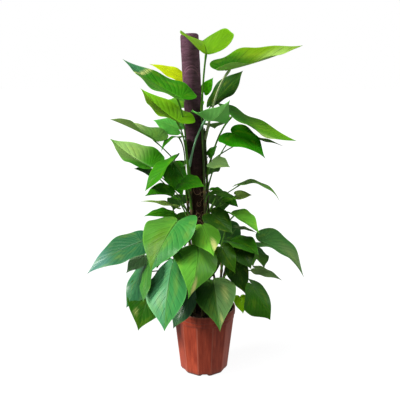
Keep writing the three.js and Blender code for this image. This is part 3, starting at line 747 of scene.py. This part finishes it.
vine("shoot_far_right", (20, 64), (15, 90), 400, [
    leaf(270, (150, -60, 310), (215, -40, 180), (0.3, -0.7, 0.6), width=1.05, twist=-55, fold=(5, -20),
         cup=0.2, tone=rgb(52, 114, 12)),
    leaf(370, (180, -35, 440), (305, -100, 350), (1, -0.3, 0.1), width=0.8, bend=50, twist=25, fold=(5, 35),
         cup=0, tone=rgb(66, 118, 54), zones=((0.65, -0.12, 0.35, 0.14, SILVER),)),
    leaf(400, (101, -20, 487), (164, -50, 476), (0.1, -0.2, 0.95), width=0.35, stalk=1.5, tone=SILVER),
    leaf(350, (146, -20, 421), (205, -40, 394), (0.2, 0.5, 0.7), width=0.6, stalk=1.5, tone=TEAL),
    leaf(310, (165, -20, 350), (245, -65, 325), (0, -0.3, 1), width=0.4, bend=30, twist=15, fold=(-15, 0),
         cup=0.2, tone=SILVER),
    leaf(300, (150, 60, 400), (215, 150, 290), (0.5, 0.5, 0.7), tone=DEEP),
])
vine("shoot_back", (88, 60), (88, 84), 400, [
    leaf(380, (-40, 150, 480), (-70, 240, 340), (-0.2, 0.85, 0.45), width=0.75, tone=GRASS),
    leaf(360, (60, 150, 450), (100, 235, 310), (0.2, 0.85, 0.4), width=0.75, tone=TEAL),
    leaf(300, (10, 140, 350), (10, 200, 205), (0, 0.92, 0.35), tone=DEEP),
    leaf(330, (120, 110, 400), (180, 190, 280), (0.5, 0.7, 0.45)),
])
vine("shoot_back_left", (145, 64), (150, 90), 400, [
    leaf(380, (-150, 60, 440), (-260, 130, 330), (-0.5, 0.4, 0.75), tone=GRASS),
    leaf(340, (-120, 120, 400), (-170, 200, 270), (-0.4, 0.75, 0.45), width=0.75),
    leaf(270, (-130, 60, 300), (-190, 100, 190), (-0.7, 0.5, 0.4), tone=DEEP),
])


# ---- leaves, stalks and stems ----

BLADE_HALF = 0.0004
QUILT_DEPTH = 0.0025
MIDRIB_DEPTH = 0.004
BLADE, STALK = 0, 1


def blade_place(spec, x, y):
    """Where flat blade coordinates lie in space, as in the CAD model."""
    chord = spec.tip - spec.joint
    along = unit(chord)
    up = unit(spec.face - along * (spec.face @ along))
    side = np.cross(along, up)
    turn = radians(spec.bend)
    length = np.linalg.norm(chord) * turn / 2 / sin(turn / 2)
    radius = length / turn
    angle = turn * (0.5 - y)
    run = radius * (sin(turn / 2) - np.sin(angle))
    rise = radius * (np.cos(angle) - cos(turn / 2))
    roll = np.radians(spec.twist * (y - 0.5))
    normal = np.outer(-np.sin(angle), along) + np.outer(np.cos(angle), up)
    across = x * length * spec.width / OUTLINE_WIDTH
    tilt = np.radians(np.where(x > 0, *spec.fold))
    edge = np.abs(x) / (OUTLINE_WIDTH / 2)
    swing = 13 * y + spec.phase + np.where(x > 0, 0, 2)
    ripple = spec.wave * length * edge * edge * np.sin(swing)
    height = np.abs(across) * (np.sin(tilt) - spec.cup * edge) + ripple
    sideways = across * np.cos(tilt) * np.cos(roll) - height * np.sin(roll)
    outward = across * np.cos(tilt) * np.sin(roll) + height * np.cos(roll)
    return (spec.joint + np.outer(run, along) + np.outer(rise, up) + np.outer(sideways, side)
            + normal * outward[:, None])


def blade_normals(spec, x, y, step=0.002):
    across = blade_place(spec, x + step, y) - blade_place(spec, x - step, y)
    along = blade_place(spec, x, y + step) - blade_place(spec, x, y - step)
    normals = np.cross(across, along)
    return normals / np.linalg.norm(normals, axis=1)[:, None]


def patch_reach(y, x, tall, wide):
    """How far the flat leaf's points lie from a patch's middle, squared: 1 at the patch's edge."""
    return ((FLAT.x - x) / wide) ** 2 + ((FLAT.y - y) / tall) ** 2


def cream_patches(spec):
    """How much of the marbling lies at each point of the flat leaf."""
    amount = np.full(len(FLAT.x), 0.06)
    for *patch, strength in spec.cream:
        amount = np.maximum(amount, strength * np.exp(-patch_reach(*patch)))
    return amount


def blade_tones(spec):
    """The colour at each point of the flat leaf: one for each half, with zones of others."""
    halves = ease(FLAT.rib, -0.03, 0.03)[:, None]
    tones = blend(spec.left_tone, spec.tone, halves)
    for *patch, tone in spec.zones:
        tones = blend(tones, tone, np.exp(-patch_reach(*patch) ** 2)[:, None])
    return tones


def add_blade(piece, spec):
    length = np.linalg.norm(spec.tip - spec.joint)
    middle = blade_place(spec, FLAT.x, FLAT.y)
    normals = blade_normals(spec, FLAT.x, FLAT.y)
    part = np.abs(FLAT.rib)
    phase = FLAT.vein * VEINS + (FLAT.rib > 0) * VEIN_SHIFT
    beat = (np.cos(phase * tau) * 0.5 + 0.5) ** 2
    quilt = beat * ease(part, 0.02, 0.3) * ease(part, 1.0, 0.7)
    midrib = bell(part, 0.06) * (1 - FLAT.y)
    relief = -(QUILT_DEPTH * quilt + MIDRIB_DEPTH * midrib) * length
    half = BLADE_HALF * (1 - 0.4 * part ** 4)
    top = middle + normals * (half + relief)[:, None]
    bottom = middle - normals * (half - relief + MIDRIB_DEPTH * midrib * length)[:, None]
    count = len(middle)
    faces = list(FLAT.faces)
    faces += [tuple(i + count for i in reversed(face)) for face in FLAT.faces]
    ring = zip(FLAT.rim, FLAT.rim[1:] + FLAT.rim[:1])
    faces += [(a, a + count, b + count, b) for a, b in ring]
    flat = np.c_[FLAT.vein, FLAT.rib, np.full(count, spec.phase % 50)]
    cream = cream_patches(spec)
    gloss = np.full(count, spec.gloss)
    marks = [np.c_[cream, np.full(count, upper), gloss] for upper in (1, 0)]
    tones = blade_tones(spec)
    # the default underside: paler, partly its own colour and partly painted light through the leaf
    under = blend(tones, BACKLIT, 0.4) if spec.under is None else np.tile(spec.under, (count, 1))
    piece.add(np.concatenate([top, bottom]), faces, BLADE, np.concatenate([flat, flat]),
              np.concatenate(marks), np.concatenate([tones, under]))


def pole_axis(z):
    return np.array([POLE_FOOT.x - (z - POLE_FOOT.z) * tan(POLE_LEAN), POLE_FOOT.y, z])


def stem_at(stem, z):
    rise = ease(z, STEM_STRAIGHT, min(stem.top, STEM_STRAIGHT + 0.16))
    climb = ease(z, STEM_STRAIGHT, stem.top)
    angle = radians(blend(stem.root[0], stem.head[0], climb))
    reach = blend(stem.root[1], stem.head[1], rise) * MM
    spot = pole_axis(max(z, STEM_STRAIGHT)) + reach * heading(angle)
    return np.array([spot[0], spot[1], z])


def add_stem(piece, stem, seed):
    heights = np.arange(STEM_FOOT, stem.top, 0.005)
    path = np.array([stem_at(stem, z) for z in heights])
    nodes = np.zeros(len(heights))
    for spec in stem.leaves:
        nodes = np.maximum(nodes, bell(heights - spec.start, 0.006))
    ending = ease(stem.top - heights, -0.004, 0.03)
    radii = STEM_RADIUS * (0.94 + 0.32 * nodes) * (0.25 + 0.75 * ending)
    age = ease(heights, 0.85, 0.45)
    tone = blend(STEM_TONE, OLD_STEM_TONE, age[:, None])
    add_tube(piece, path, radii, 12, STALK, seed, tone, 0.55 * nodes + 0.25 * age, up=(1.0, 0.0, 0.1))


def add_stalk(piece, stem, spec, seed):
    """The leaf stalk: sheathed and thick at the stem, grooved, with a thicker knee at the blade."""
    foot = stem_at(stem, spec.start)
    end = blade_place(spec, np.array([0.0]), np.array([0.07]))[0]
    span = np.linalg.norm(end - foot)
    out = unit((end - foot) * np.array([1, 1, 0]))
    lift = np.array([0, 0, span])
    first = foot + 0.12 * span * out + spec.rise * lift
    last = end - 0.25 * span * out - spec.drop * lift
    shares = np.linspace(0, 1, 26)
    path = bezier([foot, first, last, end], shares)
    sheath = ease(shares, 0.34, 0.0)
    knee = bell(shares - 0.93, 0.06)
    thinning = 1 - 0.45 * ease(shares, 0.96, 1.0)
    radii = spec.stalk * MM * (0.86 + 0.55 * sheath + 0.28 * knee) * thinning
    add_tube(piece, path, radii, 10, STALK, seed, spec.stalk_tone, groove=0.22)


def make_vine(name, stem, materials):
    piece = Piece(name + "_foliage")
    seed = len(name) + stem.top * 10
    add_stem(piece, stem, seed)
    for number, spec in enumerate(stem.leaves):
        add_stalk(piece, stem, spec, seed + number)
        add_blade(piece, spec)
    made = piece.build(materials, crease=60)
    attach(made, "leaf", name)


def attach(made, slot, *nodes):
    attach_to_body(made, "root")
    if nodes:
        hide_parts(*nodes)


# ---- pole ----

NET_SIDES = 96
NET_ROW = 0.004
NET_LOOPS = (0.955, 0.966, 0.80, 0.62, 0.61, 0.44, 0.26)
NET_BROWNING = (0.78, 0.62)
ROOT_COUNT = 30
ROOT_HEIGHTS = (0.26, 0.72)
CURL_COUNT = 16
CURL_HEIGHTS = (0.43, 0.61)


def lean(points):
    """Stands points made about the pole's own axis on the pot's floor, leaning to the left."""
    x, y, z = points.T
    lift = POLE_FOOT.z + POLE_RADIUS * sin(POLE_LEAN)
    return np.c_[x * cos(POLE_LEAN) - z * sin(POLE_LEAN) + POLE_FOOT.x,
                 y + POLE_FOOT.y,
                 x * sin(POLE_LEAN) + z * cos(POLE_LEAN) + lift]


def net_profile():
    """(radius, height) up the outside of the net, over its soft shoulder and down into the pipe."""
    mouth = PIPE_RADIUS + NET_EASE
    shoulder = POLE_LENGTH - NET_SHOULDER
    rows = np.r_[np.arange(NET_START, shoulder - 0.001, NET_ROW), shoulder]
    profile = [(mouth, NET_START)] + [(POLE_RADIUS, z) for z in rows]
    for bend in np.linspace(0, pi / 2, 9)[1:]:
        profile.append((POLE_RADIUS - NET_SHOULDER * (1 - cos(bend)),
                        POLE_LENGTH - NET_SHOULDER * (1 - sin(bend))))
    profile += [(radius, POLE_LENGTH) for radius in (0.012, 0.004, 0.0005)]
    return profile + [(radius, POLE_LENGTH - NET_CAP) for radius in (0.0005, mouth)]


def make_net(material):
    """The net sleeve: a long knitted tube with loop rows, slight bulges and a closed soft top."""
    piece = Piece("net_sleeve")
    points = []
    flat = []
    profile = net_profile()
    for radius, z in profile:
        loops = sum(bell(z - share * POLE_LENGTH, 0.003) for share in NET_LOOPS)
        for j, angle in enumerate(circle(NET_SIDES)):
            spot = Vector((cos(angle) * 2.2, sin(angle) * 2.2, z * 28))
            swell = 0.0005 * noise.noise(spot) + 0.0003 * noise.noise(spot * 3)
            grown = radius + (swell + 0.0004 * loops if radius >= POLE_RADIUS else 0)
            points.append((grown * cos(angle), grown * sin(angle), z))
            flat.append((j / NET_SIDES, z, ease(z, *NET_BROWNING)))
    faces = [tuple(i % len(points) for i in face) for face in grid_faces(len(profile) + 1, NET_SIDES)]
    piece.add(lean(np.array(points)), faces, flat=flat)
    attach(piece.build([material]), "pole_net", "pole_net")


def root_path(draw, stem):
    """A root that leaves its stem, meets the net and winds round it, and its radius."""
    z = draw.uniform(ROOT_HEIGHTS[0], min(stem.top - 0.03, ROOT_HEIGHTS[1]))
    swing = draw.choice((-1, 1)) * draw.uniform(0.5, 1.6)
    fall = draw.uniform(-0.06, 0.03)
    curl = draw.uniform(0, tau)
    coil = draw.uniform(0.0, 0.45)
    radius = draw.uniform(0.0008, 0.0015)
    start = stem_at(stem, z) - pole_axis(z)
    angle = atan2(start[1], start[0])
    path = []
    for share in np.linspace(0, 1, 26):
        height = z + fall * share + coil * POLE_RADIUS * share * sin(7 * share + curl)
        turn = angle + swing * share + coil * (sin(7 * share + curl + 1.5) - sin(curl + 1.5))
        out = POLE_RADIUS + radius + 0.006 * (1 - min(1, share * 4)) + 0.0006 * sin(11 * share)
        path.append(pole_axis(height) + out * heading(turn))
    return np.array(path), radius


def curl_path(draw):
    """A root that winds round on itself on the front of the net, and its radius."""
    radius = draw.uniform(0.0006, 0.0011)
    middle = draw.uniform(-0.7, 0.7) - pi / 2
    height = draw.uniform(*CURL_HEIGHTS)
    size = draw.uniform(0.006, 0.016)
    begin = draw.uniform(0, tau)
    turns = draw.uniform(0.6, 1.4) * tau
    path = []
    for share in np.linspace(0, 1, 36):
        reach = size * (1.2 - 0.6 * share)
        swing = begin + turns * share
        turn = middle + reach / POLE_RADIUS * cos(swing)
        out = POLE_RADIUS + radius + 0.0008 * sin(9 * share)
        path.append(pole_axis(height + 1.2 * reach * sin(swing)) + out * heading(turn))
    return np.array(path), radius


def make_roots(material):
    """Thin aerial roots that leave the stems and curl over the net."""
    draw = random.Random(5)
    piece = Piece("aerial_roots")
    climbers = [stem for name, stem in VINES.items() if name.startswith("vine")]
    for number in range(ROOT_COUNT):
        path, radius = root_path(draw, climbers[number % len(climbers)])
        add_tube(piece, path, radius * np.linspace(1, 0.35, len(path)), 6, 0, number * 1.7)
    for number in range(CURL_COUNT):
        path, radius = curl_path(draw)
        add_tube(piece, path, radius * np.linspace(1, 0.5, len(path)), 6, 0, number * 2.3)
    attach(piece.build([material]), "pole_net")


# ---- pot and soil ----

POT_SEGMENTS = 144
CORNER_SHARPNESS = 320
NOTCH_REACH = (-0.084, -0.062)
SOIL_SEGMENTS = 120
SOIL_RINGS = 44
SOIL_LUMPS = ((0.0022, 45), (0.0018, 130), (0.0008, 400))
CRUMB_COUNT = 260
EDGE = 0.001
OCTAHEDRON = np.array([(1, 0, 0), (-1, 0, 0), (0, 1, 0), (0, -1, 0), (0, 0, 1), (0, 0, -1)], float)
OCTAHEDRON_FACES = [(0, 2, 4), (2, 1, 4), (1, 3, 4), (3, 0, 4), (2, 0, 5), (1, 2, 5), (3, 1, 5), (0, 3, 5)]


def pot_ring(radius, faceted):
    """Radii round the pot: a polygon with soft corners where it is faceted, else a circle."""
    angles = circle(POT_SEGMENTS)
    total = 0
    for facet in circle(POT_SIDES):
        facing = np.cos(angles - facet) / cos(pi / POT_SIDES)
        total = total + np.maximum(facing, 0.01) ** CORNER_SHARPNESS
    return radius * blend(1.0, total ** (-1 / CORNER_SHARPNESS), faceted)


def body_radius(z):
    """How far the pot's outer wall lies from its axis at a height."""
    return blend(FOOT[0], SHOULDER[0], (z - FOOT[1]) / (SHOULDER[1] - FOOT[1]))


def pot_profile():
    """(radius, height, how faceted, inside) from the middle of the base round to the floor."""
    inner, outer, depth = CHANNEL
    base = [(0.0005, 0), (inner - EDGE, 0), (inner, EDGE), (inner, depth)]
    base += [(outer, depth), (outer, EDGE), (outer + EDGE, 0)]
    foot = [(BASE_RADIUS - 0.0007, 0), (BASE_RADIUS + 0.0006, 0.0008),
            (FOOT[0] - 0.0006, FOOT[1] - 0.0012), (FOOT[0] + 0.0001, FOOT[1] + 0.0005)]
    wall = [(body_radius(z), z) for z in (*np.arange(0.020, 0.176, 0.012), SHOULDER[1] - 0.0005)]
    collar = [(SHOULDER[0] - 0.0005, SHOULDER[1]), (SHOULDER[0] + 0.0001, SHOULDER[1] + EDGE),
              (COLLAR[0] - 0.0002, 0.187), COLLAR]
    band = [(RIM_RADIUS - 0.0012, COLLAR[1] + EDGE), (RIM_RADIUS, COLLAR[1] + 0.0026), (RIM_RADIUS, 0.203),
            (RIM_RADIUS, POT_HEIGHT - 0.003), (RIM_RADIUS - 0.0006, POT_HEIGHT - 0.0012),
            (RIM_RADIUS - 0.0018, POT_HEIGHT), (RIM_INSIDE + 0.0030, POT_HEIGHT)]
    throat = [(RIM_INSIDE + 0.0018, POT_HEIGHT - EDGE), (RIM_INSIDE + 0.0005, 0.205),
              (RIM_INSIDE, SHOULDER[1])]
    lining = [(body_radius(z) - POT_WALL, z) for z in (0.178, 0.12, 0.06, POT_FLOOR)]
    floor = [(0.04, POT_FLOOR), (0.0005, POT_FLOOR)]
    stretches = ((base, 0, 0), (foot + wall, 1, 0), (collar + band, 0, 0), (throat, 0, 1), (lining, 1, 1),
                 (floor, 0, 1))
    return [(*spot, faceted, inside) for spots, faceted, inside in stretches for spot in spots]


def cut(target, cutters):
    """Takes closed cutter meshes out of a mesh, and removes them."""
    for cutter in cutters:
        modifier = target.modifiers.new("cut", "BOOLEAN")
        modifier.object = cutter
        modifier.solver = "EXACT"
    graph = bpy.context.evaluated_depsgraph_get()
    result = bpy.data.meshes.new_from_object(target.evaluated_get(graph))
    target.modifiers.clear()
    target.data = result
    for cutter in cutters:
        bpy.data.objects.remove(cutter)


def prism(name, corners, front, back):
    """A bar along Y with the given X, Z corners, listed anticlockwise seen from -Y."""
    count = len(corners)
    points = [(x, y, z) for y in (front, back) for x, z in corners]
    faces = [tuple(range(count)), tuple(range(2 * count - 1, count - 1, -1))]
    faces += [(i, i + count, (i + 1) % count + count, (i + 1) % count) for i in range(count)]
    piece = Piece(name)
    piece.add(np.array(points), faces)
    return piece.build([])


def notch_cutter(turn):
    """Cuts a foot notch with soft upper corners through the pot's lower edge."""
    low, high = NOTCH_BOTTOM / 2 + EDGE, NOTCH_TOP / 2
    right = [(low, -EDGE), (high + EDGE, NOTCH_HEIGHT - EDGE), (high, NOTCH_HEIGHT)]
    left = [(-x, z) for x, z in reversed(right)]
    made = prism("gap", right + left, *NOTCH_REACH)
    made.rotation_euler.z = turn + POT_TURN
    return made


def drain_cutter(turn):
    """Cuts a round drain hole through the pot's floor."""
    corners = [(DRAIN_RADIUS * cos(angle), DRAIN_RADIUS * sin(angle)) for angle in circle(20)]
    made = prism("hole", corners, EDGE, -POT_FLOOR - EDGE)
    made.rotation_euler.x = -pi / 2
    made.location = (DRAIN_RING * sin(turn), -DRAIN_RING * cos(turn), 0)
    return made


def make_pot(material):
    piece = Piece("nursery_pot")
    points = []
    flat = []
    profile = pot_profile()
    angles = circle(POT_SEGMENTS)
    for radius, z, faceted, inside in profile:
        radii = pot_ring(radius, faceted)
        x, y = radii * np.sin(angles + POT_TURN), -radii * np.cos(angles + POT_TURN)
        points.append(np.c_[x, y, np.full(POT_SEGMENTS, z)])
        flat += [(angle / tau, z / POT_HEIGHT, inside) for angle in angles]
    piece.add(np.concatenate(points), closed_tube(len(profile), POT_SEGMENTS), flat=flat)
    pot = piece.build([material])
    cutters = []
    for turn in circle(HOLE_COUNT):
        cutters += [notch_cutter(turn), drain_cutter(turn + pi / HOLE_COUNT)]
    bpy.context.view_layer.update()
    cut(pot, cutters)
    attach(pot, "pot", "pot")


def soil_height(x, y):
    """Top of the soil: a low crown with lumps."""
    reach = hypot(x, y)
    crown = SOIL_CROWN * float(ease(reach, RIM_INSIDE, 0.02))
    spot = Vector((x, y, 0.0))
    lumps = sum(size * noise.noise(spot * many) for size, many in SOIL_LUMPS)
    return SOIL_TOP + crown + lumps


def add_crumb(piece, draw, x, y):
    """A small uneven lump of soil or bark."""
    size = draw.uniform(0.0012, 0.0034)
    stretch = np.array([draw.uniform(0.7, 1.6), draw.uniform(0.6, 1.2), draw.uniform(0.4, 0.9)])
    turn = draw.uniform(0, tau)
    points = OCTAHEDRON * stretch * size
    points = points + np.array([[draw.uniform(-0.25, 0.25) * size for _ in range(3)] for _ in range(6)])
    rotated = np.c_[points[:, 0] * cos(turn) - points[:, 1] * sin(turn),
                    points[:, 0] * sin(turn) + points[:, 1] * cos(turn), points[:, 2]]
    piece.add(rotated + np.array([x, y, soil_height(x, y) + 0.2 * size]), OCTAHEDRON_FACES)


def make_soil(material):
    piece = Piece("potting_soil")
    edge = RIM_INSIDE - 0.0005
    rings = [(edge * (ring + 1) / SOIL_RINGS, None) for ring in range(SOIL_RINGS)]
    rings += [(edge, SHOULDER[1]), (SHOULDER[0] - 0.0075, SHOULDER[1] - EDGE), (0.073, POT_FLOOR + 0.0005)]
    points = [(0, 0, soil_height(0, 0))]
    for radius, z in rings:
        for angle in circle(SOIL_SEGMENTS):
            x, y = radius * cos(angle), radius * sin(angle)
            points.append((x, y, z or soil_height(x, y)))
    faces = [(0, 1 + j, 1 + (j + 1) % SOIL_SEGMENTS) for j in range(SOIL_SEGMENTS)]
    faces += [tuple(i + 1 for i in reversed(face)) for face in grid_faces(len(rings), SOIL_SEGMENTS)]
    faces.append(tuple(range(len(points) - 1, len(points) - 1 - SOIL_SEGMENTS, -1)))
    piece.add(np.array(points), faces)
    draw = random.Random(11)
    for _ in range(CRUMB_COUNT):
        angle, reach = draw.uniform(0, tau), edge * sqrt(draw.uniform(0, 0.93))
        add_crumb(piece, draw, reach * cos(angle), reach * sin(angle))
    attach(piece.build([material], crease=50), "soil", "soil")


# ---- studio ----

CAMERA_PLACE = (-0.013, -1.685, 0.936)
CAMERA_DOWN = radians(12.26)
CAMERA_LENS = 49.1
SENSOR_WIDTH = 36
WORLD_LIGHT = 0.21
FLOOR_REACH = 60.0


def make_camera():
    data = bpy.data.cameras.new("camera")
    data.sensor_width = SENSOR_WIDTH
    data.lens = CAMERA_LENS
    made = place("camera", data)
    made.location = CAMERA_PLACE
    made.rotation_euler = (pi / 2 - CAMERA_DOWN, 0, 0)
    bpy.context.scene.camera = made


def soft_light(name, azimuth, elevation, strength, softness, colour=WHITE):
    """A large far softbox; azimuth 0 stands in front of the plant and -90 at its left."""
    data = bpy.data.lights.new(name, "SUN")
    data.energy = strength
    data.angle = radians(softness)
    data.color = colour
    turn, lift = radians(azimuth), radians(elevation)
    away = Vector((sin(turn) * cos(lift), -cos(turn) * cos(lift), sin(lift)))
    place(name, data).rotation_euler = away.to_track_quat("Z", "Y").to_euler()


def make_world():
    """White where the camera sees it, dimmer as a light."""
    world = bpy.data.worlds.new("studio")
    world.use_nodes = True
    tree = world.node_tree
    seen = tree.nodes.new("ShaderNodeLightPath").outputs["Is Camera Ray"]
    strength = tree.nodes.new("ShaderNodeMapRange")
    strength.inputs["To Min"].default_value = WORLD_LIGHT
    strength.inputs["To Max"].default_value = 1.0
    background = tree.nodes["Background"]
    background.inputs["Color"].default_value = (*WHITE, 1.0)
    tree.links.new(seen, strength.inputs["Value"])
    tree.links.new(strength.outputs[0], background.inputs["Strength"])
    bpy.context.scene.world = world


def make_floor():
    piece = Piece("studio_floor")
    corners = [(-1, -1, 0), (1, -1, 0), (1, 1, 0), (-1, 1, 0)]
    piece.add(FLOOR_REACH * np.array(corners), [(0, 1, 2, 3)])
    floor = piece.build([floor_finish()])
    floor.location.z = CAD_BOUNDS[0].z - 0.0005
    floor.visible_diffuse = False
    floor.visible_glossy = False


def make_studio():
    make_camera()
    make_world()
    soft_light("key", -76, 32, 3.9, 22, (1.0, 0.985, 0.95))
    soft_light("top", -25, 62, 2.3, 40, (0.93, 0.98, 1.0))
    soft_light("edge", 105, 20, 0.8, 25)
    make_floor()
    bpy.context.scene.view_settings.view_transform = "Standard"


# ---- the whole object ----

make_studio()
foliage = [blade_finish(), stalk_finish()]
for vine_name, vine_stem in VINES.items():
    make_vine(vine_name, vine_stem, foliage)
make_net(net_finish())
make_roots(root_finish())
make_pot(pot_finish())
make_soil(soil_finish())
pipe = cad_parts["pole_pipe"]
pipe.data.materials.clear()
pipe.data.materials.append(pipe_finish())
